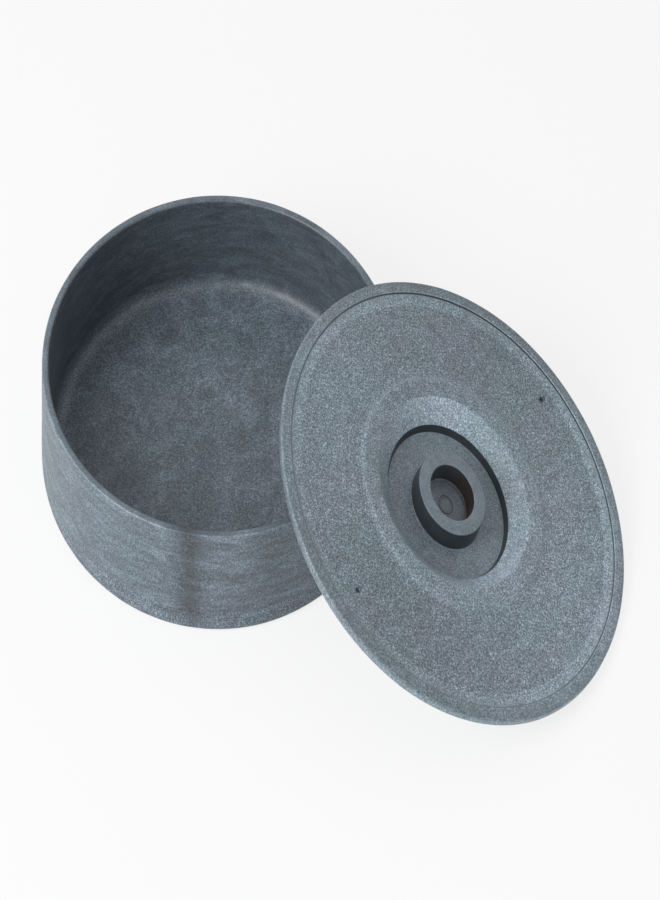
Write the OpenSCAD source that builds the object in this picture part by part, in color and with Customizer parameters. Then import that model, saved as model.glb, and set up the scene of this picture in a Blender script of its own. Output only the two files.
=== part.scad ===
// Round tortilla warmer in two mouldings: a straight-sided bowl and a lift-off lid.
// The lid is off the bowl. It leans with its underside on the rim and its low edge on the table.
// Origin: centre of the bowl's base, on the table. +Z is up and -Y is the front.

/* [Bowl] */
// Outside diameter across the rim
rim_d = 210; // [180:1:240]
// Height from the table to the rim
bowl_h = 59; // [48:1:72]
// Wall thickness at the rim
wall_t = 4; // [3.2:0.1:6]
// Thickness of the floor, above the foot ring
floor_t = 3.5; // [2.5:0.1:6]
// How much the outside narrows from the rim to the base, on each side
outer_draft = 1; // [0.5:0.1:3]
// How much the inside narrows from the rim to the floor, on each side
inner_draft = 2; // [1:0.1:5]
// Rounding outside, between wall and base
base_round = 3.5; // [1:0.1:6]
// Rounding inside, between wall and floor
floor_fillet = 8; // [3:0.5:14]
// Rounding of the rim's outer edge
rim_outer_round = 0.8; // [0.3:0.1:1.2]
// Rounding of the rim's inner edge
rim_inner_round = 1.6; // [0.4:0.1:1.8]
// Width of the foot ring, with the rounding beside it
foot_w = 11; // [8:0.5:20]
// Height of the foot ring
foot_h = 1; // [0.5:0.1:2]

/* [Lid plate] */
// How far the lid overhangs the rim all round
overhang = 3.5; // [2:0.1:6]
// Thickness of the lid at its edge
lid_t = 4.2; // [3.8:0.1:6]
// Rounding of the edge's upper side
edge_top_round = 1.2; // [0.5:0.1:2.4]
// Rounding of the edge's lower side
edge_low_round = 0.8; // [0.3:0.1:1.2]
// Width of the raised band round the edge
band_w = 6; // [4:0.1:8]
// Step down from the band to the cove
band_step = 0.8; // [0.6:0.1:1.1]
// Width of the cove that falls from the step to the flat field
cove_w = 6.5; // [4:0.1:10]
// Drop from the band to the flat field
field_drop = 1.6; // [1.4:0.1:1.8]
// Height of the ring under the lid that seats inside the rim
seat_h = 2.8; // [2:0.1:4]
// Width of that ring
seat_w = 2.6; // [1.8:0.1:4]
// Clearance between that ring and the inside of the rim
seat_gap = 0.9; // [0.5:0.1:2]

/* [Lid centre] */
// Diameter of the raised collar round the dish
collar_d = 109; // [108:1:118]
// Width of the soft slope round the collar
collar_edge_w = 4.5; // [2:0.1:8]
// Drop from the band to the collar
collar_drop = 0.8; // [0.4:0.1:1]
// Diameter at the top of the dish
dish_d = 95; // [88:1:102]
// Drop from the band to the bottom of the dish
dish_drop = 9.8; // [8.5:0.1:10.5]
// Thickness of the dish, square to its slope
dish_t = 2; // [1.8:0.1:2.2]
// Diameter of the well in the dish
well_d = 76.4; // [70:0.2:80]
// Drop from the band to the floor of the well
well_drop = 13.5; // [12.5:0.1:16]
// How much the well's wall leans, from top to bottom
well_draft = 1.6; // [0.5:0.1:3]
// Thickness of the well's wall
well_wall_t = 2.5; // [1.8:0.1:3]
// Thickness of the well's floor
well_floor_t = 2.8; // [1.8:0.1:4]
// Diameter of the grip ring that stands in the well
grip_d = 42; // [36:0.5:48]
// Drop from the band to the top of the grip ring
grip_drop = 3.2; // [1:0.1:5]
// Diameter of the hollow in the grip ring
grip_hollow_d = 27.6; // [20:0.2:30]
// How much the grip ring's two walls lean, from top to bottom, on each side
grip_draft = 0.7; // [0.3:0.1:2]
// Diameter of the round gate mark on the hollow's floor
gate_d = 9.6; // [6:0.2:14]
// Diameter of the steam vents
vent_d = 2; // [1.5:0.1:4]
// Distance from the lid's edge to the vents
vent_inset = 19; // [17:0.5:28]
// Turn of the first vent about the lid's axis, from the lid's low edge
vent_turn = 69; // [0:1:360]
// Depth of the second vent, which stays closed by a skin of plastic
vent_blind_d = 1.2; // [0.5:0.1:1.8]

/* [Lean] */
// Direction in which the lid leans away from the bowl, turned from +X
lean_turn = -17.6; // [-90:0.1:90]
// How far the lid stands to the left of that direction
lean_side = -8.6; // [-20:0.1:20]
// Distance from the rim to the slope under the lid's dish
lean_stop = 0.6; // [0.5:0.1:20]
// Air between the leaning lid and the rim
rest_gap = 0.3; // [0.2:0.05:1]

/* [Hidden] */
$fn = 180;

arc_steps = 6;      // straight steps in each rounded corner of an outline
small_round = 0.5;  // rounding of the mouldings' small edges
gate_line_w = 0.5;  // width of the line round the gate mark
gate_line_d = 0.3;
vent_flare = 0.3;   // width of the flare at a vent's mouth
sliver = 0.01;      // overshoot of a cut past the face it starts from

rim_r = rim_d / 2;
base_r = rim_r - outer_draft;
inner_r = rim_r - wall_t;
floor_z = foot_h + floor_t;
floor_r = inner_r - inner_draft;

lid_r = rim_r + overhang;
band_r = lid_r - band_w;
cove_in_r = band_r - cove_w;
seat_out_r = inner_r - seat_gap;
seat_in_r = seat_out_r - seat_w;

collar_r = collar_d / 2;
collar_slope = atan2(field_drop - collar_drop, collar_edge_w);
// each arc takes four tenths of the collar's slope, which leaves it soft from edge to edge
collar_round = 0.4 * norm([collar_edge_w, field_drop - collar_drop]) / tan(collar_slope / 2);
dish_r = dish_d / 2;
well_r = well_d / 2;
well_low_r = well_r - well_draft;
grip_r = grip_d / 2;
hollow_r = grip_hollow_d / 2;
dish_slope = atan2(dish_drop - collar_drop, dish_r - well_r);
dish_fall = dish_t / cos(dish_slope);
// the dish's underside starts where its slope leaves the flat underside, and ends at the well's wall
dish_under_r = dish_r - (lid_t - collar_drop - dish_fall) / tan(dish_slope);
boss_r = well_r + well_wall_t;
boss_top_drop = collar_drop + (dish_r - boss_r) * tan(dish_slope) + dish_fall;
boss_drop = well_drop + well_floor_t;

// The lean: the rim's rounded edge bears on the flat underside just outside the dish, and the lid
// tips until its lowest edge meets the table. Both touches are on arcs, so each is worked out
// from the arc's centre.
bear_r = dish_under_r + lean_stop;
bear_drop = lid_t + rest_gap + rim_outer_round;
bear_z = bowl_h - rim_outer_round;

// Tilt at which a rounded edge of the lid, [radius, drop] at its arc's centre, rests on the table
function tilt_on(centre, round) =
    let (
        run = centre[0] + bear_r,
        rise = bear_drop - centre[1]
    )
    asin((bear_z - round) / norm([run, rise])) + atan2(rise, run);

edge_tilt = tilt_on([lid_r - edge_low_round, lid_t - edge_low_round], edge_low_round);
seat_tilt = tilt_on([seat_out_r - small_round, lid_t + seat_h - small_round], small_round);
lean_tilt = min(edge_tilt, seat_tilt);
lean_x = rim_r - rim_outer_round + bear_r * cos(lean_tilt) + bear_drop * sin(lean_tilt);
lean_z = bear_z - bear_r * sin(lean_tilt) + bear_drop * cos(lean_tilt);

bowl_outline = [
    [0, foot_h, 0],
    [rim_r - foot_w, foot_h, small_round],
    [rim_r - foot_w, 0, small_round / 2],
    [base_r, 0, base_round],
    [rim_r, bowl_h, rim_outer_round],
    [inner_r, bowl_h, rim_inner_round],
    [floor_r, floor_z, floor_fillet],
    [0, floor_z, 0],
];

// Half of the lid's section, with the top of the band at height 0
lid_outline = [
    [0, -boss_drop, 0],
    [boss_r - well_draft, -boss_drop, 2 * small_round],
    [boss_r, -boss_top_drop, small_round],
    [dish_under_r, -lid_t, 2 * small_round],
    [seat_in_r, -lid_t, small_round],
    [seat_in_r, -lid_t - seat_h, small_round],
    [seat_out_r, -lid_t - seat_h, small_round],
    [seat_out_r, -lid_t, small_round],
    [lid_r, -lid_t, edge_low_round],
    [lid_r, 0, edge_top_round],
    [band_r, 0, small_round],
    [band_r, -band_step, 0],
    [cove_in_r, -field_drop, cove_w],
    [collar_r + collar_edge_w, -field_drop, collar_round],
    [collar_r, -collar_drop, collar_round],
    [dish_r, -collar_drop, 4 * small_round],
    [well_r, -dish_drop, small_round],
    [well_low_r, -well_drop, small_round],
    [grip_r + grip_draft, -well_drop, small_round],
    [grip_r, -grip_drop, small_round],
    [hollow_r, -grip_drop, small_round],
    [hollow_r - grip_draft, -well_drop, small_round],
    [0, -well_drop, 0],
];

function flat(p) = [p[0], p[1]];
function unit(v) = v / norm(v);
function turned(v, a) = [v.x * cos(a) - v.y * sin(a), v.x * sin(a) + v.y * cos(a)];

// The arc that rounds corner p, [x, y, rounding], between the corners before and after it
function corner_arc(before, p, after) =
    p[2] == 0 ? [flat(p)] :
    let (
        u = unit(flat(before) - flat(p)),
        v = unit(flat(after) - flat(p)),
        half = acos(u * v) / 2,
        centre = flat(p) + unit(u + v) * p[2] / sin(half),
        first = flat(p) + u * p[2] / tan(half) - centre,
        sweep = (2 * half - 180) * sign(cross(u, v))
    )
    [for (i = [0 : arc_steps]) centre + turned(first, sweep * i / arc_steps)];

function rounded(outline) =
    let (n = len(outline))
    [
        for (i = [0 : n - 1])
            each corner_arc(outline[(i + n - 1) % n], outline[i], outline[(i + 1) % n])
    ];

module turned_shape(outline) {
    rotate_extrude()
        polygon(rounded(outline));
}

// The line that a round gate leaves on the floor of the grip ring's hollow
module gate_line() {
    translate([0, 0, -well_drop - gate_line_d])
        difference() {
            cylinder(h = gate_line_d + sliver, d = gate_d);
            translate([0, 0, -sliver])
                cylinder(h = gate_line_d + 3 * sliver, d = gate_d - 2 * gate_line_w);
        }
}

// A vent drilled down from the field, with its mouth flared
module vent(turn, depth) {
    rotate([0, 0, turn])
        translate([lid_r - vent_inset, 0, -field_drop]) {
            translate([0, 0, -depth])
                cylinder(h = depth + sliver, d = vent_d);
            translate([0, 0, -vent_flare])
                cylinder(h = vent_flare + sliver, d1 = vent_d, d2 = vent_d + 2 * vent_flare);
        }
}

module bowl() {
    color("#6f7980")
        turned_shape(bowl_outline);
}

module lid() {
    color("#767f87")
        rotate([0, 0, lean_turn])
            translate([lean_x, lean_side, lean_z])
                rotate([0, lean_tilt, 0])
                    difference() {
                        turned_shape(lid_outline);
                        gate_line();
                        vent(vent_turn, lid_t);
                        vent(vent_turn + 180, min(vent_blind_d, lid_t - field_drop - small_round));
                    }
}

bowl();
lid();
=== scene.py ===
"""The looks of a round tortilla warmer in two mouldings: a bowl, and a lid that leans on its rim.

Each moulding is a turned shape: its half-section is a short list of corners, which a formula rounds and
cuts into points, and the section is swept round its axis as one grid. Lengths are in metres.
"""
import math

import bpy
import numpy as np
from bpy.props import FloatProperty, FloatVectorProperty, PointerProperty
from mathutils import Matrix, Vector


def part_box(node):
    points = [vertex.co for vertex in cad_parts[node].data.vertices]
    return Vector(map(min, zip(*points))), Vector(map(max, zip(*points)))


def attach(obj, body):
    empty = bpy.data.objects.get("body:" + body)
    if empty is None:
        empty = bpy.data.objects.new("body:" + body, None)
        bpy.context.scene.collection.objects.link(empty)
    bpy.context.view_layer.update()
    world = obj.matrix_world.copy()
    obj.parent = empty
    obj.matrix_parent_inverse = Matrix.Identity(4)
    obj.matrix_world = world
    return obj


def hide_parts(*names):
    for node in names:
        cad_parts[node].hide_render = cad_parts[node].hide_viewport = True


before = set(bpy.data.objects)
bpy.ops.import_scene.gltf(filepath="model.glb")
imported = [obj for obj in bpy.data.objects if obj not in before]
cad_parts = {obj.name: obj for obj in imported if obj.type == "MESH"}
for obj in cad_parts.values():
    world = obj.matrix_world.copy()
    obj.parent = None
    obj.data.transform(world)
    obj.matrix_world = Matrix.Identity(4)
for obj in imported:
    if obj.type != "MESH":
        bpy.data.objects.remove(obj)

bl_info = {
    "name": "Round Tortilla Warmer",
    "version": (1, 0, 0),
    "blender": (4, 5, 0),
    "location": "View3D > Sidebar > Warmer",
    "description": "Builds a round tortilla warmer with its lid leaning on the bowl",
    "category": "Add Mesh",
}

MM = 0.001
COLUMNS = 360           # points round each moulding
VENT_COLUMNS = 32       # points round each vent
BOWL_STEP = 3 * MM      # longest straight part of the bowl's outline
LID_STEP = 3.2 * MM
VENT_STEP = 1 * MM
SAME_PLACE = 1e-7       # points of an outline that are nearer than this are one
SMALL_ROUND = 0.5 * MM  # rounding of the mouldings' small edges
SMALL_ARC = 1 * MM      # edges rounded less than this get a painted highlight along their middle
# how much paler the painted highlight makes the middle of a small arc
EDGE_HIGHLIGHT = 0.4
SHARP_EDGE = math.radians(40)
UNEVENNESS = 0.05 * MM  # scale of the ripples that cooling leaves
EDGE_SHADE_W = 2 * MM   # width of the darker strip along the band's outer edge
STEP_LINE_W = 0.5 * MM  # width of the painted shade line at the foot of the band's step
GATE_LINE_W = 0.5 * MM
GATE_LINE_D = 0.3 * MM
VENT_FLARE = 0.3 * MM   # width and depth of the flare at a vent's mouth
BOWL_STRETCH = (0.5, 0.5, 2.2)  # draws the bowl's flow marks out level
LID_STRETCH = (1, 1, 1)
POLISHED = 0.32         # roughness where the plastic has no grain
GRAINED = 0.5           # roughness where the grain is full
WHITE_SHARE = 0.8       # how much of the board the camera and reflections see as white
WELD_FADE = 8 * MM
WELD_LINES = (          # turn of each line from +X, half its width, and its depth of shade
    (math.radians(265), math.radians(4.5), 0.5),
    (math.radians(290), math.radians(4), 0.18),
)
# turn round the lid where the painted warm light on the hollow's wall is strongest
WARM_LIGHT_TURN = math.radians(40)
PLATE_FADE = 8 * MM     # width over which the plate's painted light and shade set in outside the collar
FACES_UP = 0.2          # least height of a unit normal on the lid's upper side
STEP_NEAR = 0.2 * MM    # points this near to the level of the step's foot take its painted shade
EDGE_NEAR = 0.3 * MM    # points this near to the lid's edge take the edge's painted light
PAINTED_LIGHT_BY_TURN = {               # painted light and shade by turn for each zone: lift, then depth and turn of the gain's two lobes, then of its one lobe
    "plate": (0, 0.13, 0, 0.08, 0),
    "collar": (0.13, 0, 0, 0.13, math.radians(-15)),
    "dish": (0.22, 0.34, math.radians(276), 0, 0),
    "step": (0, 0, 0, -0.85, math.radians(80)),
    "edge": (0.1, 0, 0, 0.4, math.radians(10)),
}
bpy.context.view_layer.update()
BOWL_LOW, BOWL_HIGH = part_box("bowl")
RIM_R = (BOWL_HIGH.x - BOWL_LOW.x) / 2
BOWL_H = BOWL_HIGH.z


def linear(hex_colour):
    """The linear red, green and blue of an sRGB hex colour such as #808080."""
    srgb = np.array([int(hex_colour[i:i + 2], 16) / 255 for i in (1, 3, 5)])
    return tuple(np.where(srgb <= 0.04045, srgb / 12.92, ((srgb + 0.055) / 1.055) ** 2.4))


# ---------------------------------------------------------------- sizes and colours


class BowlSizes(bpy.types.PropertyGroup):
    """Sizes of the bowl."""

    wall_t: FloatProperty(
        name="Wall", description="Thickness of the wall at the rim", default=4 * MM, unit="LENGTH")
    floor_t: FloatProperty(
        name="Floor", description="Thickness of the floor", default=3.5 * MM, unit="LENGTH")
    outer_draft: FloatProperty(
        name="Outer draft", description="How much the outside narrows down to the base",
        default=1 * MM, unit="LENGTH")
    inner_draft: FloatProperty(
        name="Inner draft", description="How much the inside narrows down to the floor",
        default=2 * MM, unit="LENGTH")
    base_round: FloatProperty(
        name="Base rounding", description="Rounding between the wall and the base",
        default=3.5 * MM, unit="LENGTH")
    floor_fillet: FloatProperty(
        name="Floor fillet", description="Rounding inside, between the wall and the floor",
        default=8 * MM, unit="LENGTH")
    rim_outer_round: FloatProperty(
        name="Rim outside", description="Rounding of the rim's outer edge",
        default=0.8 * MM, unit="LENGTH")
    rim_inner_round: FloatProperty(
        name="Rim inside", description="Rounding of the rim's inner edge",
        default=1.6 * MM, unit="LENGTH")
    foot_w: FloatProperty(
        name="Foot width", description="Width of the foot ring, with the rounding beside it",
        default=11 * MM, unit="LENGTH")
    foot_h: FloatProperty(
        name="Foot height", description="Height of the foot ring", default=1 * MM, unit="LENGTH")


class LidSizes(bpy.types.PropertyGroup):
    """Sizes of the lid."""

    overhang: FloatProperty(
        name="Overhang", description="How far the lid overhangs the rim", default=3.5 * MM, unit="LENGTH")
    lid_t: FloatProperty(
        name="Thickness", description="Thickness of the lid at its edge", default=4.2 * MM, unit="LENGTH")
    edge_top_round: FloatProperty(
        name="Edge top", description="Rounding of the edge's upper side", default=1.2 * MM, unit="LENGTH")
    edge_low_round: FloatProperty(
        name="Edge bottom", description="Rounding of the edge's lower side",
        default=0.8 * MM, unit="LENGTH")
    band_w: FloatProperty(
        name="Band", description="Width of the raised band round the edge", default=6 * MM, unit="LENGTH")
    band_step: FloatProperty(
        name="Band step", description="Step down from the band to the cove",
        default=0.8 * MM, unit="LENGTH")
    cove_w: FloatProperty(
        name="Cove", description="Width of the cove from the step to the field",
        default=6.5 * MM, unit="LENGTH")
    field_drop: FloatProperty(
        name="Field drop", description="Drop from the band to the flat field",
        default=1.6 * MM, unit="LENGTH")
    seat_h: FloatProperty(
        name="Seat height", description="Height of the ring that seats inside the rim",
        default=2.8 * MM, unit="LENGTH")
    seat_w: FloatProperty(
        name="Seat width", description="Width of that ring", default=2.6 * MM, unit="LENGTH")
    seat_gap: FloatProperty(
        name="Seat gap", description="Clearance between that ring and the inside of the rim",
        default=0.9 * MM, unit="LENGTH")
    collar_r: FloatProperty(
        name="Collar", description="Radius of the raised collar round the dish",
        default=56 * MM, unit="LENGTH")
    collar_edge_w: FloatProperty(
        name="Collar edge", description="Width of the soft slope round the collar",
        default=2.5 * MM, unit="LENGTH")
    collar_drop: FloatProperty(
        name="Collar drop", description="Drop from the band to the collar",
        default=0.8 * MM, unit="LENGTH")
    dish_r: FloatProperty(
        name="Dish", description="Radius at the top of the dish", default=47.5 * MM, unit="LENGTH")
    dish_drop: FloatProperty(
        name="Dish drop", description="Drop from the band to the bottom of the dish",
        default=9.8 * MM, unit="LENGTH")
    dish_t: FloatProperty(
        name="Dish thickness", description="Thickness of the dish, square to its slope",
        default=2 * MM, unit="LENGTH")
    well_r: FloatProperty(
        name="Well", description="Radius of the well in the dish", default=38.2 * MM, unit="LENGTH")
    well_drop: FloatProperty(
        name="Well drop", description="Drop from the band to the well's floor",
        default=13.5 * MM, unit="LENGTH")
    well_draft: FloatProperty(
        name="Well draft", description="How much the well's wall leans", default=1.6 * MM, unit="LENGTH")
    well_wall_t: FloatProperty(
        name="Well wall", description="Thickness of the well's wall", default=2.5 * MM, unit="LENGTH")
    well_floor_t: FloatProperty(
        name="Well floor", description="Thickness of the well's floor", default=2.8 * MM, unit="LENGTH")
    grip_r: FloatProperty(
        name="Grip ring", description="Radius of the grip ring in the well",
        default=21 * MM, unit="LENGTH")
    grip_drop: FloatProperty(
        name="Grip drop", description="Drop from the band to the grip ring's top",
        default=3.2 * MM, unit="LENGTH")
    hollow_r: FloatProperty(
        name="Hollow", description="Radius of the hollow in the grip ring",
        default=13.8 * MM, unit="LENGTH")
    grip_draft: FloatProperty(
        name="Grip draft", description="How much the grip ring's two walls lean",
        default=0.7 * MM, unit="LENGTH")
    gate_r: FloatProperty(
        name="Gate mark", description="Radius of the round gate mark", default=4.8 * MM, unit="LENGTH")
    vent_r: FloatProperty(
        name="Vent", description="Radius of the steam vents", default=1 * MM, unit="LENGTH")
    vent_inset: FloatProperty(
        name="Vent inset", description="Distance from the lid's edge to the vents",
        default=19 * MM, unit="LENGTH")
    vent_turn: FloatProperty(
        name="Vent turn", description="Turn of the first vent from the lid's low edge",
        default=math.radians(69), unit="ROTATION")
    vent_blind_d: FloatProperty(
        name="Blind vent", description="Depth of the vent that a skin of plastic closes",
        default=1.2 * MM, unit="LENGTH")


class LeanSizes(bpy.types.PropertyGroup):
    """How the lid leans on the bowl."""

    turn: FloatProperty(
        name="Turn", description="Direction of the lean, turned from +X",
        default=math.radians(-17.6), unit="ROTATION")
    side: FloatProperty(
        name="Side", description="How far the lid stands to the left of that direction",
        default=-8.6 * MM, unit="LENGTH")
    stop: FloatProperty(
        name="Stop", description="Distance from the rim to the slope under the dish",
        default=0.6 * MM, unit="LENGTH")
    gap: FloatProperty(
        name="Gap", description="Air between the lid and the rim", default=0.3 * MM, unit="LENGTH")


class PlasticLooks(bpy.types.PropertyGroup):
    """Colours and grain of the moulded polypropylene foam."""

    lid_teal: FloatVectorProperty(
        name="Lid teal", description="The lid's colour where it leans to green",
        subtype="COLOR", default=linear("#7b8a93"))
    lid_lilac: FloatVectorProperty(
        name="Lid lilac", description="The lid's colour where it leans to violet",
        subtype="COLOR", default=linear("#7e8994"))
    bowl_teal: FloatVectorProperty(
        name="Bowl teal", description="The bowl's colour where it leans to green",
        subtype="COLOR", default=linear("#65727b"))
    bowl_lilac: FloatVectorProperty(
        name="Bowl lilac", description="The bowl's colour where it leans to violet",
        subtype="COLOR", default=linear("#67717c"))
    # painted warm light: this brown is painted on the hollow's wall in place of warm light reflected onto it
    painted_warm_light: FloatVectorProperty(
        name="Painted_warm_light", description="Brown that use leaves on the wall of the grip ring's hollow",
        subtype="COLOR", default=linear("#54483f"))
    hue_size: FloatProperty(
        name="Hue drift", description="Width of the patches between which the colour drifts",
        default=30 * MM, unit="LENGTH")
    grain_size: FloatProperty(
        name="Grain", description="Size of the pale and dark grains in the plastic",
        default=0.8 * MM, unit="LENGTH")
    grain_contrast: FloatProperty(
        name="Grain contrast", description="How many stops the grains stray from the middle colour",
        default=1.5, min=0)
    fleck_contrast: FloatProperty(
        name="Fleck contrast", description="How many stops the few pale flecks stand out",
        default=0.1, min=0)
    flow_size: FloatProperty(
        name="Flow", description="Width of the flow marks that the filling leaves",
        default=10 * MM, unit="LENGTH")
    lid_flow_contrast: FloatProperty(
        name="Lid flow", description="How many stops the lid's flow marks stray", default=0.25, min=0)
    bowl_flow_contrast: FloatProperty(
        name="Bowl flow", description="How many stops the bowl's flow marks stray", default=0.5, min=0)


class StudioSetup(bpy.types.PropertyGroup):
    """The camera and the lights."""

    camera_place: FloatVectorProperty(
        name="Camera", description="Where the camera stands", subtype="TRANSLATION",
        default=(0.107, -1.675, 1.799))
    aim: FloatVectorProperty(
        name="Aim", description="The point in the middle of the picture", subtype="TRANSLATION",
        default=(0.0667, -0.0235, 0.03))
    lens: FloatProperty(
        name="Lens", description="Focal length for a picture 36 mm high", default=160.7)
    film_turn: FloatProperty(
        name="Film turn", description="Turn of the film's plane about the vertical",
        default=math.radians(-5.08), unit="ROTATION")
    film_tilt: FloatProperty(
        name="Film tilt", description="How far the film's plane leans back from the vertical",
        default=math.radians(2.62), unit="ROTATION")
    film_roll: FloatProperty(
        name="Film roll", description="Turn of the film in its own plane",
        default=math.radians(5.86), unit="ROTATION")
    film_skew: FloatProperty(
        name="Film skew", description="How far the film's two directions lean towards each other",
        default=math.radians(4.29), unit="ROTATION")
    sky_strength: FloatProperty(
        name="Sky", description="Strength of the even light from all round", default=0.48, min=0)
    lamp_place: FloatVectorProperty(
        name="Softbox place", description="Where the soft lamp stands", subtype="TRANSLATION",
        default=(-1.05, -0.95, 1.0))
    lamp_size: FloatProperty(
        name="Softbox size", description="Side of the square soft lamp", default=0.9, unit="LENGTH")
    lamp_power: FloatProperty(
        name="Softbox power", description="Power of the soft lamp", default=22, min=0, unit="POWER")


# ---------------------------------------------------------------- turned shapes


def unit(vectors):
    """The vectors at length 1, and those of no length as they are."""
    return vectors / np.maximum(np.linalg.norm(vectors, axis=-1, keepdims=True), 1e-12)


def rounded(corners, step, arc_steps=6):
    """The points of an outline whose corners are (radius, height, rounding, grain, shade).

    The edges leave a corner along the unit vectors u and v, at a half-angle a from their middle. The arc's
    centre is rounding / sin(a) along the middle, it starts rounding / tan(a) along u, and it turns by
    pi - 2a. Each run between arcs has ceil(length / step) parts whose ends lie at shares
    (1 - cos(pi t)) / 2, so that the points crowd towards its ends. Grain and shade belong to the run
    after the corner. They blend over the arc, and small arcs get a painted highlight: they are paler in
    their middle by EDGE_HIGHLIGHT. A corner that isn't rounded keeps the looks of the run before it, and its
    own set in over the first part of the run after it.
    """
    corners = np.array(corners, float)
    place, rounding, looks = corners[:, :2], corners[:, 2], corners[:, 3:]
    u = unit(np.roll(place, 1, axis=0) - place)
    v = unit(np.roll(place, -1, axis=0) - place)
    half = np.clip(np.arccos(np.clip((u * v).sum(1), -1, 1)) / 2, 0.01, math.pi / 2)
    centre = place + unit(u + v) * (rounding / np.sin(half))[:, None]
    first = place + u * (rounding / np.tan(half))[:, None] - centre
    sweep = (2 * half - math.pi) * np.sign(u[:, 0] * v[:, 1] - u[:, 1] * v[:, 0])
    turn = np.arange(arc_steps + 1) / arc_steps
    angle = sweep[:, None] * turn
    x = centre[:, :1] + first[:, :1] * np.cos(angle) - first[:, 1:] * np.sin(angle)
    y = centre[:, 1:] + first[:, :1] * np.sin(angle) + first[:, 1:] * np.cos(angle)
    before = np.concatenate([looks[:1], looks[:-1]])
    blend = before[:, None] + (looks - before)[:, None] * turn[:, None]
    small = ((rounding > 0) & (rounding < SMALL_ARC))[:, None]
    # painted highlight along the middle of each small rounded edge
    blend[..., 1] *= 1 + EDGE_HIGHLIGHT * small * np.sin(math.pi * turn)
    points = np.concatenate([x[..., None], y[..., None], blend], axis=2).reshape(-1, 4)
    corner = np.repeat(np.arange(len(corners)), arc_steps + 1)
    apart = np.linalg.norm(np.diff(points[:, :2], axis=0), axis=1)
    keep = np.concatenate([[True], apart > SAME_PLACE])
    points, corner = points[keep], corner[keep]
    parts = np.ceil(np.linalg.norm(np.diff(points[:, :2], axis=0), axis=1) / step).astype(int)
    run = np.repeat(np.arange(len(parts)), parts)
    share = (np.arange(len(run)) - np.repeat(np.cumsum(parts) - parts, parts)) / parts[run]
    share = ((1 - np.cos(math.pi * share)) / 2)[:, None]
    inner = points[run] + share * (points[run + 1] - points[run])
    straight = (share[:, 0] > 0) & (corner[run] != corner[run + 1])
    inner[straight, 2:] = looks[corner[run[straight]]]
    return np.concatenate([inner, points[-1:]])


def turned(name, corners, step, columns):
    """A closed mesh swept from an outline that starts and ends on the axis.

    Point i of the outline at column j stands at (radius cos t, radius sin t, height) with
    t = 2 pi j / columns. The two points on the axis are poles, closed by a fan. Grain and shade go
    into two attributes of the mesh.
    """
    outline = rounded(corners, step)
    rows = outline[1:-1]
    t = 2 * math.pi * np.arange(columns) / columns
    grid = np.stack(
        [rows[:, :1] * np.cos(t), rows[:, :1] * np.sin(t), rows[:, 1:2] + 0 * t], axis=2)
    poles = np.array([[0, 0, outline[0, 1]], [0, 0, outline[-1, 1]]])
    index = np.arange(len(rows) * columns).reshape(len(rows), columns)
    after = np.roll(index, -1, axis=1)
    quads = np.stack([index[:-1], after[:-1], after[1:], index[1:]], axis=2).reshape(-1, 4)
    first_pole = np.full(columns, index.size)
    fans = np.concatenate([
        np.stack([first_pole, after[0], index[0]], axis=1),
        np.stack([index[-1], after[-1], first_pole + 1], axis=1),
    ])
    mesh = bpy.data.meshes.new(name)
    points = np.concatenate([grid.reshape(-1, 3), poles])
    mesh.from_pydata(points.tolist(), [], quads.tolist() + fans.tolist())
    for column, look in ((2, "grain"), (3, "shade")):
        values = np.concatenate([np.repeat(rows[:, column], columns), outline[[0, -1], column]])
        mesh.attributes.new(look, "FLOAT", "POINT").data.foreach_set("value", values.astype(np.float32))
    mesh.validate()
    mesh.update()
    piece = bpy.data.objects.new(name, mesh)
    bpy.context.scene.collection.objects.link(piece)
    return piece


def read(mesh, name, width):
    """One array from a mesh: its points as co, its normals as normal, or an attribute by its name."""
    values = np.zeros(len(mesh.vertices) * width, np.float32)
    if width == 3:
        mesh.vertices.foreach_get(name, values)
    else:
        mesh.attributes[name].data.foreach_get("value", values)
    return values.reshape(-1, width).astype(float)


def ripple(points, wavelength, seed, waves=28):
    """A smooth random height with a spread of 1: a sum of cosines of one wavelength, whose directions and
    phases come from the seed."""
    random = np.random.default_rng(seed)
    direction = unit(random.normal(size=(waves, 3))) * (2 * math.pi / wavelength)
    phase = random.uniform(0, 2 * math.pi, waves)
    return np.cos(points @ direction.T + phase).sum(1) * math.sqrt(2 / waves)


def unevenness(piece, amount, seed):
    """Moves the points along their normals by ripples 11 mm and 27 mm long, as the cooling of a moulding
    leaves them. The grain attribute scales the move, so edges and steep walls stay true."""
    mesh = piece.data
    points, normals, grain = read(mesh, "co", 3), read(mesh, "normal", 3), read(mesh, "grain", 1)
    height = 0.4 * ripple(points, 11 * MM, seed) + 0.6 * ripple(points, 27 * MM, seed + 1)
    points += normals * grain * (height * amount)[:, None]
    mesh.vertices.foreach_set("co", points.astype(np.float32).ravel())
    mesh.update()


# ---------------------------------------------------------------- tone, painted light and painted shade of the surfaces


def scale_shade(piece, gain):
    """Multiplies the piece's shade attribute by a gain for each point."""
    shade = read(piece.data, "shade", 1)[:, 0] * gain
    piece.data.attributes["shade"].data.foreach_set("value", shade.astype(np.float32))


def around(piece):
    """The radius, the turn from +X and the height of each point of an upright piece."""
    x, y, z = read(piece.data, "co", 3).T
    return np.hypot(x, y), np.arctan2(y, x), z


def weld_lines(piece):
    """Darkens the bowl's wall along upright lines, where two fronts of the melt met.

    Round the axis a line is a bell, exp(-(gap / width)^2), with gap the turn away from its middle. It
    sets in over WELD_FADE, from half that height above the base, and it leaves the floor alone.
    """
    radius, turn, height = around(piece)
    wall = radius > 0.9 * RIM_R
    share = np.clip(height / WELD_FADE - 0.5, 0, 1) * wall
    gain = np.ones(len(radius))
    for middle, width, depth in WELD_LINES:
        gap = (turn - middle + math.pi) % (2 * math.pi) - math.pi
        gain *= 1 - depth * share * np.exp(-(gap / width) ** 2)
    scale_shade(piece, gain)


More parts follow.
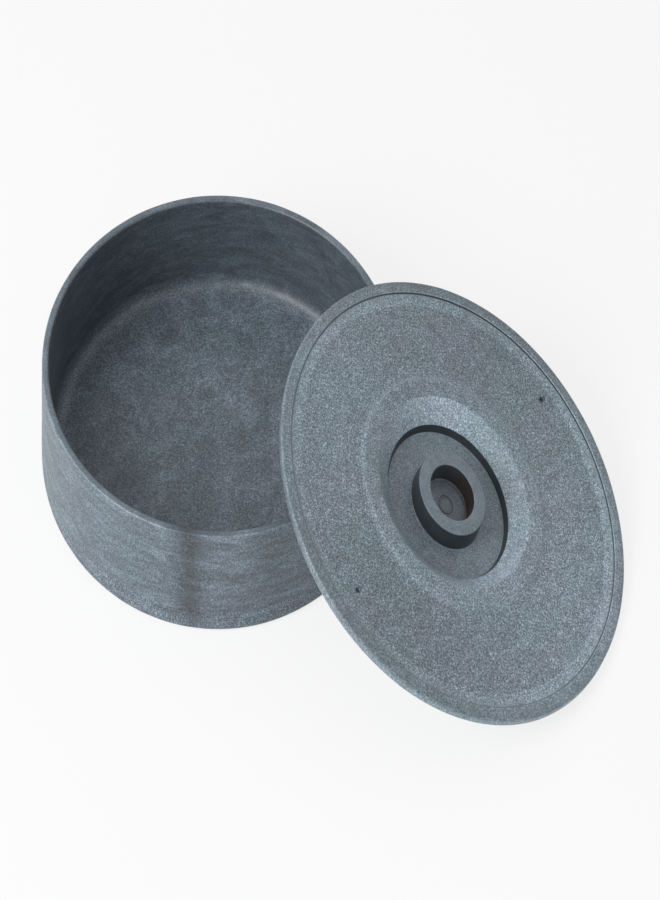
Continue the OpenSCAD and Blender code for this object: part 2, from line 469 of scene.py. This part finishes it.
def paint_light_by_turn(piece, lid):
    """Paints light and shade onto the lid by turns round its axis, as the lamps would light it: the plate,
    the collar, the dish and the edge's side are painted paler on some sides than on others, and the painted
    shade line at the step's foot is dark on one side and faded out on the other.

    At a turn t from the low edge, the gain in each zone of PAINTED_LIGHT_BY_TURN is
    1 + lift + depth2 cos(2t - turn2) + depth1 cos(t - turn1).
    """
    radius, turn, height = around(piece)
    top = read(piece.data, "normal", 3)[:, 2] > FACES_UP
    lid_r = RIM_R + lid.overhang
    step_gap = np.abs(radius - lid_r + lid.band_w)
    step_foot = np.abs(height + lid.band_step) < STEP_NEAR
    zones = {
        "plate": top * np.clip((radius - lid.collar_r) / PLATE_FADE, 0, 1),
        "collar": top & (radius > lid.dish_r) & (radius < lid.collar_r),
        "dish": top & (radius > lid.well_r) & (radius < lid.dish_r),
        "step": step_foot & (step_gap < 1.2 * STEP_LINE_W),
        "edge": ~top & (radius > lid_r - EDGE_NEAR),
    }
    gain = np.ones(len(radius))
    for name, zone in zones.items():
        lift, depth2, turn2, depth1, turn1 = PAINTED_LIGHT_BY_TURN[name]
        gain += zone * (lift + depth2 * np.cos(2 * turn - turn2) + depth1 * np.cos(turn - turn1))
    scale_shade(piece, gain)


def vent_reach(lid):
    """How far the vents are from the lid's axis."""
    return RIM_R + lid.overhang - lid.vent_inset


def vent_shade(piece, lid):
    """Darkens the walls of the two vents, the open one most, as little light reaches them. The gain is at
    its least along a wall, and 1 from one and a half widths of the flare away from it."""
    x, y, _ = read(piece.data, "co", 3).T
    reach = vent_reach(lid)
    gain = np.ones(len(x))
    for turn, least in ((lid.vent_turn, 0.01), (lid.vent_turn + math.pi, 0.5)):
        gap = np.hypot(x - reach * math.cos(turn), y - reach * math.sin(turn))
        gain *= np.clip(np.abs(gap - lid.vent_r) / VENT_FLARE - 0.5, least, 1)
    scale_shade(piece, gain)


def painted_warm_light(piece, lid):
    """Gives the piece the attribute stain, which is painted warm light: a brown on the wall of the grip
    ring's hollow, in place of warm light reflected onto it. It is strongest at WARM_LIGHT_TURN and falls
    with the cosine of the turn away from there."""
    radius, turn, height = around(piece)
    wall_r = lid.hollow_r - lid.grip_draft / 2
    below_edge = height < -lid.grip_drop - 0.6 * SMALL_ROUND
    on_wall = below_edge & (np.abs(radius - wall_r) < 2 * SMALL_ROUND)
    share = on_wall * np.clip(np.cos(turn - WARM_LIGHT_TURN), 0, 1)
    piece.data.attributes.new("painted_warm_light", "FLOAT", "POINT").data.foreach_set(
        "value", share.astype(np.float32))


# ---------------------------------------------------------------- finishing a mesh


def cut(piece, cutter):
    """Takes the cutter's solid out of the piece, and deletes the cutter."""
    modifier = piece.modifiers.new("cut", "BOOLEAN")
    modifier.operation = "DIFFERENCE"
    modifier.solver = "EXACT"
    modifier.object = cutter
    evaluated = piece.evaluated_get(bpy.context.evaluated_depsgraph_get())
    carved = bpy.data.meshes.new_from_object(evaluated)
    piece.modifiers.clear()
    piece.data = carved
    bpy.data.objects.remove(cutter)


def finish_mesh(piece, name):
    """Smooth shading, with the edges that turn by more than SHARP_EDGE kept sharp."""
    piece.data.name = name
    piece.data.shade_smooth()
    piece.data.set_sharp_from_angle(angle=SHARP_EDGE)


# ---------------------------------------------------------------- outlines


def bowl_outline(bowl):
    """The bowl's half-section, from the middle of its base, up the outside and back to the floor. The
    corner a fifth of the way up is there only for the grain, which is stronger below it."""
    base_r = RIM_R - bowl.outer_draft
    inner_r = RIM_R - bowl.wall_t
    floor_r = inner_r - bowl.inner_draft
    floor_z = bowl.foot_h + bowl.floor_t
    return [
        (0, bowl.foot_h, 0, 0.8, 0.95),
        (RIM_R - bowl.foot_w, bowl.foot_h, SMALL_ROUND, 0.1, 0.95),
        (RIM_R - bowl.foot_w, 0, SMALL_ROUND / 2, 0, 1),
        (base_r, 0, bowl.base_round, 1, 1),
        (base_r + 0.2 * bowl.outer_draft, 0.2 * BOWL_H, 0, 0.7, 1),
        (RIM_R, BOWL_H, bowl.rim_outer_round, 0.4, 0.98),
        # painted shade: the inner wall is darker, as if little light reached into the bowl
        (inner_r, BOWL_H, bowl.rim_inner_round, 0.5, 0.55),
        (floor_r, floor_z, bowl.floor_fillet, 0.8, 0.9),
        (0, floor_z, 0, 0.8, 0.9),
    ]


def lid_levels(bowl, lid):
    """The lid's radii and drops that follow from others: the outside of the seat ring, where the slope
    under the dish starts, and the radius and the drop where it meets the outside of the well."""
    slope = math.atan2(lid.dish_drop - lid.collar_drop, lid.dish_r - lid.well_r)
    fall = lid.dish_t / math.cos(slope)
    seat_out = RIM_R - bowl.wall_t - lid.seat_gap
    dish_under = lid.dish_r - (lid.lid_t - lid.collar_drop - fall) / math.tan(slope)
    boss_r = lid.well_r + lid.well_wall_t
    boss_top_drop = lid.collar_drop + (lid.dish_r - boss_r) * math.tan(slope) + fall
    return seat_out, dish_under, boss_r, boss_top_drop


def lid_outline(bowl, lid):
    """The lid's half-section with the top of its band at height 0, from the middle of the well's
    underside, out along the underside and back over the top.

    The collar's two arcs take four tenths of its slope each, which leaves it soft from edge to edge. Four
    corners are there only for their looks: the one EDGE_SHADE_W in from the edge, the one under the
    band's rounding, and the two just inside the step's foot.
    """
    small = SMALL_ROUND
    line_w = STEP_LINE_W
    seat_out, dish_under, boss_r, boss_top_drop = lid_levels(bowl, lid)
    seat_in = seat_out - lid.seat_w
    lid_r = RIM_R + lid.overhang
    band_r = lid_r - lid.band_w
    cove_in = band_r - lid.cove_w
    collar_edge = math.hypot(lid.collar_edge_w, lid.field_drop - lid.collar_drop)
    collar_slope = math.atan2(lid.field_drop - lid.collar_drop, lid.collar_edge_w)
    collar_round = 0.4 * collar_edge / math.tan(collar_slope / 2)
    boss_drop = lid.well_drop + lid.well_floor_t
    cove_slope = (lid.field_drop - lid.band_step) / lid.cove_w
    return [
        (0, -boss_drop, 0, 0.8, 0.95),
        (boss_r - lid.well_draft, -boss_drop, 2 * small, 0.3, 0.9),
        (boss_r, -boss_top_drop, small, 0.8, 1),
        (dish_under, -lid.lid_t, 2 * small, 1, 0.97),
        (seat_in, -lid.lid_t, small, 0.2, 0.9),
        (seat_in, -lid.lid_t - lid.seat_h, small, 0.4, 1),
        (seat_out, -lid.lid_t - lid.seat_h, small, 0.2, 0.9),
        (seat_out, -lid.lid_t, small, 0.6, 1),
        (lid_r, -lid.lid_t, lid.edge_low_round, 0.6, 1.05),
        (lid_r, 0, lid.edge_top_round, 0.7, 0.9),
        (lid_r - EDGE_SHADE_W, 0, 0, 0.8, 0.98),
        (band_r, 0, small, 0.4, 0.98),
        # painted shade: the step's face and the start of the cove are dark, as little light reaches the
        # step's foot
        (band_r, -small, 0, 0.1, 0.45),
        (band_r, -lid.band_step, 0, 0.1, 0.45),
        (band_r - line_w, -lid.band_step - line_w * cove_slope, 0, 0.6, 1.25),
        (band_r - 1.7 * line_w, -lid.band_step - 1.7 * line_w * cove_slope, 0, 0.9, 1.25),
        (cove_in, -lid.field_drop, lid.cove_w, 1, 0.96),
        # painted light: the collar's slope and the dish are painted paler, as the lamps would light them
        (lid.collar_r + lid.collar_edge_w, -lid.field_drop, collar_round, 0.8, 1.16),
        (lid.collar_r, -lid.collar_drop, collar_round, 0.9, 0.94),
        (lid.dish_r, -lid.collar_drop, 4 * small, 0.8, 1.12),
        # painted shade: the walls of the well, of the grip ring and of its hollow are dark, as little light
        # reaches them
        (lid.well_r, -lid.dish_drop, small, 0.1, 0.17),
        (lid.well_r - lid.well_draft, -lid.well_drop, small, 0.6, 1),
        (lid.grip_r + lid.grip_draft, -lid.well_drop, small, 0.1, 0.15),
        (lid.grip_r, -lid.grip_drop, small, 0.3, 0.84),
        (lid.hollow_r, -lid.grip_drop, small, 0.1, 0.22),
        (lid.hollow_r - lid.grip_draft, -lid.well_drop, small, 0.4, 0.85),
        (lid.gate_r, -lid.well_drop, 0, 0.1, 0.5),
        (lid.gate_r, -lid.well_drop - GATE_LINE_D, 0, 0.1, 0.5),
        (lid.gate_r - GATE_LINE_W, -lid.well_drop - GATE_LINE_D, 0, 0.1, 0.5),
        (lid.gate_r - GATE_LINE_W, -lid.well_drop, 0, 0.4, 0.85),
        (0, -lid.well_drop, 0, 0.4, 0.85),
    ]


def vent_outline(lid, depth):
    """Half-section of the solid that a vent takes out: a pin of the vent's radius with a flared mouth.

    The second corner puts a ring of points on the blind vent's floor, inside which its shade fades. The
    cut faces take their looks from the lid, so the ones given here count for nothing.
    """
    above = 1 * MM
    return [
        (0, -depth, 0, 0.1, 1),
        (lid.vent_r - VENT_FLARE, -depth, 0, 0.1, 1),
        (lid.vent_r, -depth, 0, 0.1, 1),
        (lid.vent_r, -VENT_FLARE, 0, 0.1, 1),
        (lid.vent_r + VENT_FLARE, 0, 0, 0.1, 1),
        (lid.vent_r + VENT_FLARE + above, above, 0, 0.1, 1),
        (0, above, 0, 0.1, 1),
    ]


def lean_matrix(bowl, lid, lean):
    """Puts the upright lid where it leans: its underside bears on the rim's rounded edge and its lowest
    edge touches the table. Both touches are on arcs, so the tilt follows from the arcs' centres."""
    seat_out, dish_under, _, _ = lid_levels(bowl, lid)
    bear_r = dish_under + lean.stop
    bear_drop = lid.lid_t + lean.gap + bowl.rim_outer_round
    bear_z = BOWL_H - bowl.rim_outer_round

    def tilt_on(radius, drop, rounding):
        run, rise = radius + bear_r, bear_drop - drop
        return math.asin((bear_z - rounding) / math.hypot(run, rise)) + math.atan2(rise, run)

    low = lid.edge_low_round
    tilt = min(
        tilt_on(RIM_R + lid.overhang - low, lid.lid_t - low, low),
        tilt_on(seat_out - SMALL_ROUND, lid.lid_t + lid.seat_h - SMALL_ROUND, SMALL_ROUND))
    place = Vector((
        RIM_R - bowl.rim_outer_round + bear_r * math.cos(tilt) + bear_drop * math.sin(tilt),
        lean.side,
        bear_z - bear_r * math.sin(tilt) + bear_drop * math.cos(tilt)))
    return Matrix.Rotation(lean.turn, 4, "Z") @ Matrix.Translation(place) @ Matrix.Rotation(tilt, 4, "Y")


# ---------------------------------------------------------------- materials


def node(tree, kind, settings=None, inputs=None):
    """Adds a node of a kind, sets its properties, and gives each input its value or links it."""
    made = tree.nodes.new("ShaderNode" + kind)
    for name, value in (settings or {}).items():
        setattr(made, name, value)
    for name, value in (inputs or {}).items():
        if isinstance(value, bpy.types.NodeSocket):
            tree.links.new(value, made.inputs[name])
        else:
            made.inputs[name].default_value = value
    return made


def new_tree(name):
    """A new material and its empty node tree."""
    material = bpy.data.materials.new(name)
    material.use_nodes = True
    material.node_tree.nodes.clear()
    return material, material.node_tree


def foamed_polypropylene(name, teal, lilac, looks, flow_contrast, stretch):
    """Injection-moulded polypropylene foam, satin and blue-grey. The gas cells that burst on the mould
    leave a pale and dark grain like granite's, and the filling leaves wispy flow marks, which stretch
    draws out. The colour drifts between teal and lilac. Grain, flecks and flow marks are in stops, so
    pale and dark stray alike."""
    material, tree = new_tree(name)
    place = node(tree, "TexCoord").outputs["Object"]
    grain_share = node(tree, "Attribute", {"attribute_name": "grain"}).outputs["Fac"]
    shade = node(tree, "Attribute", {"attribute_name": "shade"}).outputs["Fac"]
    # painted warm light on the wall of the grip ring's hollow
    warm_lit = node(tree, "Attribute", {"attribute_name": "painted_warm_light"}).outputs["Fac"]
    drawn = node(tree, "Mapping", inputs={"Vector": place, "Scale": stretch}).outputs["Vector"]
    grains = node(tree, "TexNoise", inputs={
        "Vector": place, "Scale": 1 / looks.grain_size, "Detail": 2.0, "Roughness": 0.7}).outputs["Fac"]
    flecks = node(tree, "TexNoise", inputs={
        "Vector": place, "Scale": 0.6 / looks.grain_size, "Detail": 0.0}).outputs["Fac"]
    flow = node(tree, "TexNoise", inputs={
        "Vector": drawn, "Scale": 1 / looks.flow_size, "Detail": 5.0, "Roughness": 0.6,
        "Distortion": 1.2}).outputs["Fac"]
    drift = node(tree, "TexNoise", inputs={
        "Vector": place, "Scale": 1 / looks.hue_size, "Detail": 1.0}).outputs["Fac"]
    grain_stops = node(tree, "MapRange", {"clamp": False}, {
        "Value": grains, "From Min": 0.3, "From Max": 0.7,
        "To Min": -looks.grain_contrast, "To Max": looks.grain_contrast}).outputs["Result"]
    fleck_stops = node(tree, "MapRange", inputs={
        "Value": flecks, "From Min": 0.68, "From Max": 0.8,
        "To Min": 0.0, "To Max": looks.fleck_contrast}).outputs["Result"]
    speckle = node(tree, "Math", {"operation": "ADD"}, {0: grain_stops, 1: fleck_stops}).outputs[0]
    flow_stops = node(tree, "MapRange", {"clamp": False}, {
        "Value": flow, "From Min": 0.3, "From Max": 0.7,
        "To Min": -flow_contrast, "To Max": flow_contrast}).outputs["Result"]
    stops = node(tree, "Math", {"operation": "MULTIPLY_ADD"}, {
        0: speckle, 1: grain_share, 2: flow_stops}).outputs[0]
    gain = node(tree, "Math", {"operation": "POWER"}, {0: 2.0, 1: stops}).outputs[0]
    # the shade attribute carries painted light and shade as well as the plastic's own tone
    tone = node(tree, "Math", {"operation": "MULTIPLY"}, {0: gain, 1: shade}).outputs[0]
    hue_share = node(tree, "MapRange", inputs={
        "Value": drift, "From Min": 0.38, "From Max": 0.62}).outputs["Result"]
    hue = node(tree, "Mix", {"data_type": "RGBA"}, {
        0: hue_share, 6: (*teal, 1), 7: (*lilac, 1)}).outputs[2]
    # mixes the painted warm light into the colour
    coloured = node(tree, "Mix", {"data_type": "RGBA"}, {
        0: warm_lit, 6: hue, 7: (*looks.painted_warm_light, 1)}).outputs[2]
    tinted = node(tree, "VectorMath", {"operation": "SCALE"}, {0: coloured, "Scale": tone}).outputs[0]
    rough = node(tree, "MapRange", inputs={
        "Value": grain_share, "To Min": POLISHED, "To Max": GRAINED}).outputs["Result"]
    grain_height = node(tree, "Math", {"operation": "MULTIPLY"}, {0: grains, 1: grain_share}).outputs[0]
    bump = node(tree, "Bump", inputs={
        "Strength": 0.35, "Distance": 0.1 * MM, "Height": grain_height}).outputs["Normal"]
    shader = node(tree, "BsdfPrincipled", inputs={
        "Base Color": tinted, "Roughness": rough, "Normal": bump, "IOR": 1.49, "Specular IOR Level": 0.5})
    node(tree, "OutputMaterial", inputs={"Surface": shader.outputs["BSDF"]})
    return material


def pale_board(name):
    """Smooth white board, clear from below. The camera and reflections see it nearly white, and it keeps
    the object's shadow."""
    material, tree = new_tree(name)
    path = node(tree, "LightPath")
    board = node(tree, "BsdfDiffuse", inputs={"Color": (*linear("#f4f4f4"), 1)}).outputs["BSDF"]
    white = node(tree, "Emission", inputs={"Color": (1, 1, 1, 1), "Strength": 1.0}).outputs["Emission"]
    direct = node(tree, "Math", {"operation": "ADD"}, {
        0: path.outputs["Is Camera Ray"], 1: path.outputs["Is Glossy Ray"]}).outputs[0]
    share = node(tree, "Math", {"operation": "MULTIPLY"}, {0: direct, 1: WHITE_SHARE}).outputs[0]
    seen = node(tree, "MixShader", inputs={"Fac": share, 1: board, 2: white}).outputs[0]
    below = node(tree, "NewGeometry").outputs["Backfacing"]
    clear = node(tree, "BsdfTransparent").outputs["BSDF"]
    surface = node(tree, "MixShader", inputs={"Fac": below, 1: seen, 2: clear}).outputs[0]
    node(tree, "OutputMaterial", inputs={"Surface": surface})
    return material


# ---------------------------------------------------------------- floor, lights and camera


def add_floor():
    """A level square of board, 6 m across, as a two by two grid of points."""
    reach = 3.0
    x, y = np.meshgrid([-reach, reach], [-reach, reach])
    corners = np.stack([x, y, 0 * x], axis=2).reshape(-1, 3)
    mesh = bpy.data.meshes.new("floor")
    mesh.from_pydata(corners.tolist(), [], [(0, 1, 3, 2)])
    mesh.materials.append(pale_board("white_board"))
    floor = bpy.data.objects.new("floor", mesh)
    bpy.context.scene.collection.objects.link(floor)


def add_sky(strength):
    """Even light from all round. The camera, reflections and glass see it as white."""
    world = bpy.data.worlds.new("sky")
    world.use_nodes = True
    tree = world.node_tree
    tree.nodes.clear()
    path = node(tree, "LightPath")
    seen = node(tree, "Math", {"operation": "ADD"}, {
        0: path.outputs["Is Camera Ray"], 1: path.outputs["Is Glossy Ray"]}).outputs[0]
    seen = node(tree, "Math", {"operation": "ADD", "use_clamp": True}, {
        0: seen, 1: path.outputs["Is Transmission Ray"]}).outputs[0]
    level = node(tree, "MapRange", inputs={
        "Value": seen, "To Min": strength, "To Max": 1.0}).outputs["Result"]
    light = node(tree, "Background", inputs={"Color": (1, 1, 1, 1), "Strength": level}).outputs["Background"]
    node(tree, "OutputWorld", inputs={"Surface": light})
    bpy.context.scene.world = world


def add_softbox(place, size, power):
    """A square soft lamp above the front left, aimed at the bowl."""
    lamp = bpy.data.lights.new("softbox", "AREA")
    lamp.energy = power
    lamp.size = size
    softbox = bpy.data.objects.new("softbox", lamp)
    softbox.location = place
    softbox.rotation_euler = (-Vector(place)).to_track_quat("-Z", "Y").to_euler()
    bpy.context.scene.collection.objects.link(softbox)


def add_camera(setup):
    """The camera, with its film tilted as a view camera's is.

    The film's right and up directions and the line of sight are the camera's three axes. The line of
    sight isn't square to the film, and that makes a level circle look as tall as it is in the
    photograph. The film's two directions also lean towards each other by the skew. The axes, as the
    columns of a matrix, are split into turn, stretch and turn: a stand takes the first two and the
    camera the last, because one object can't hold a skewed frame.
    """
    turn, tilt, roll, skew = setup.film_turn, setup.film_tilt, setup.film_roll, setup.film_skew
    level = np.array([math.cos(turn), math.sin(turn), 0])
    back = np.array([math.sin(turn) * math.cos(tilt), -math.cos(turn) * math.cos(tilt), math.sin(tilt)])
    steep = np.cross(back, level)
    right = math.cos(roll + skew) * level + math.sin(roll + skew) * steep
    up = -math.sin(roll - skew) * level + math.cos(roll - skew) * steep
    place = np.array(setup.camera_place)
    sight = unit(place - np.array(setup.aim))
    first, stretch, last = np.linalg.svd(np.stack([right, up, sight], axis=1))
    if np.linalg.det(first) < 0:
        first[:, 2] *= -1
        last[2] *= -1
    stand = bpy.data.objects.new("camera_stand", None)
    stand.matrix_world = Matrix.Translation(place) @ Matrix(first @ np.diag(stretch)).to_4x4()
    data = bpy.data.cameras.new("camera")
    data.lens = setup.lens
    camera = bpy.data.objects.new("camera", data)
    camera.parent = stand
    camera.matrix_basis = Matrix(last).to_4x4()
    for thing in (stand, camera):
        bpy.context.scene.collection.objects.link(thing)
    bpy.context.scene.camera = camera


# ---------------------------------------------------------------- operators


class WARMER_OT_bowl(bpy.types.Operator):
    """Adds the bowl."""

    bl_idname = "warmer.bowl"
    bl_label = "Bowl"

    def execute(self, context):
        scene = context.scene
        piece = turned("warmer_bowl", bowl_outline(scene.warmer_bowl), BOWL_STEP, COLUMNS)
        weld_lines(piece)
        unevenness(piece, UNEVENNESS, seed=3)
        finish_mesh(piece, "warmer_bowl")
        looks = scene.warmer_plastic
        piece.data.materials.append(foamed_polypropylene(
            "bowl_foamed_polypropylene", looks.bowl_teal, looks.bowl_lilac, looks,
            looks.bowl_flow_contrast, BOWL_STRETCH))
        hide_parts("bowl")
        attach(piece, "bowl")
        return {"FINISHED"}


class WARMER_OT_lid(bpy.types.Operator):
    """Adds the lid, leaning on the bowl's rim."""

    bl_idname = "warmer.lid"
    bl_label = "Lid"

    def execute(self, context):
        scene = context.scene
        bowl, lid = scene.warmer_bowl, scene.warmer_lid
        piece = turned("warmer_lid", lid_outline(bowl, lid), LID_STEP, COLUMNS)
        for name, turn, depth in (
                ("vent", lid.vent_turn, 2 * lid.lid_t),
                ("blind_vent", lid.vent_turn + math.pi, lid.vent_blind_d)):
            cutter = turned(name, vent_outline(lid, depth), VENT_STEP, VENT_COLUMNS)
            cutter.data.transform(
                Matrix.Rotation(turn, 4, "Z")
                @ Matrix.Translation((vent_reach(lid), 0, -lid.field_drop)))
            cut(piece, cutter)
        vent_shade(piece, lid)
        # painted light and shade by turn round the lid's axis
        paint_light_by_turn(piece, lid)
        # painted warm light on the wall of the grip ring's hollow
        painted_warm_light(piece, lid)
        unevenness(piece, UNEVENNESS, seed=11)
        piece.data.transform(lean_matrix(bowl, lid, scene.warmer_lean))
        finish_mesh(piece, "warmer_lid")
        looks = scene.warmer_plastic
        piece.data.materials.append(foamed_polypropylene(
            "lid_foamed_polypropylene", looks.lid_teal, looks.lid_lilac, looks,
            looks.lid_flow_contrast, LID_STRETCH))
        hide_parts("lid")
        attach(piece, "lid")
        return {"FINISHED"}


class WARMER_OT_studio(bpy.types.Operator):
    """Adds the pale floor, the even light, the softbox and the camera."""

    bl_idname = "warmer.studio"
    bl_label = "Studio"

    def execute(self, context):
        setup = context.scene.warmer_studio
        add_floor()
        add_sky(setup.sky_strength)
        add_softbox(setup.lamp_place, setup.lamp_size, setup.lamp_power)
        add_camera(setup)
        return {"FINISHED"}


# ---------------------------------------------------------------- panel and registration


class WARMER_PT_panel(bpy.types.Panel):
    """Buttons and sizes in the sidebar."""

    bl_idname = "WARMER_PT_panel"
    bl_label = "Tortilla Warmer"
    bl_space_type = "VIEW_3D"
    bl_region_type = "UI"
    bl_category = "Warmer"

    def draw(self, context):
        layout = self.layout
        for operator in (WARMER_OT_bowl, WARMER_OT_lid, WARMER_OT_studio):
            layout.operator(operator.bl_idname)
        for group in GROUPS:
            settings = getattr(context.scene, group)
            for name in settings.__annotations__:
                layout.prop(settings, name)


GROUPS = {
    "warmer_bowl": BowlSizes,
    "warmer_lid": LidSizes,
    "warmer_lean": LeanSizes,
    "warmer_plastic": PlasticLooks,
    "warmer_studio": StudioSetup,
}
CLASSES = (*GROUPS.values(), WARMER_OT_bowl, WARMER_OT_lid, WARMER_OT_studio, WARMER_PT_panel)


def register():
    for cls in CLASSES:
        bpy.utils.register_class(cls)
    for name, group in GROUPS.items():
        setattr(bpy.types.Scene, name, PointerProperty(type=group))


def unregister():
    for name in GROUPS:
        delattr(bpy.types.Scene, name)
    for cls in reversed(CLASSES):
        bpy.utils.unregister_class(cls)


def main():
    register()
    bpy.context.scene.view_settings.view_transform = "Standard"
    bpy.ops.warmer.bowl()
    bpy.ops.warmer.lid()
    bpy.ops.warmer.studio()


if __name__ == "__main__":
    main()
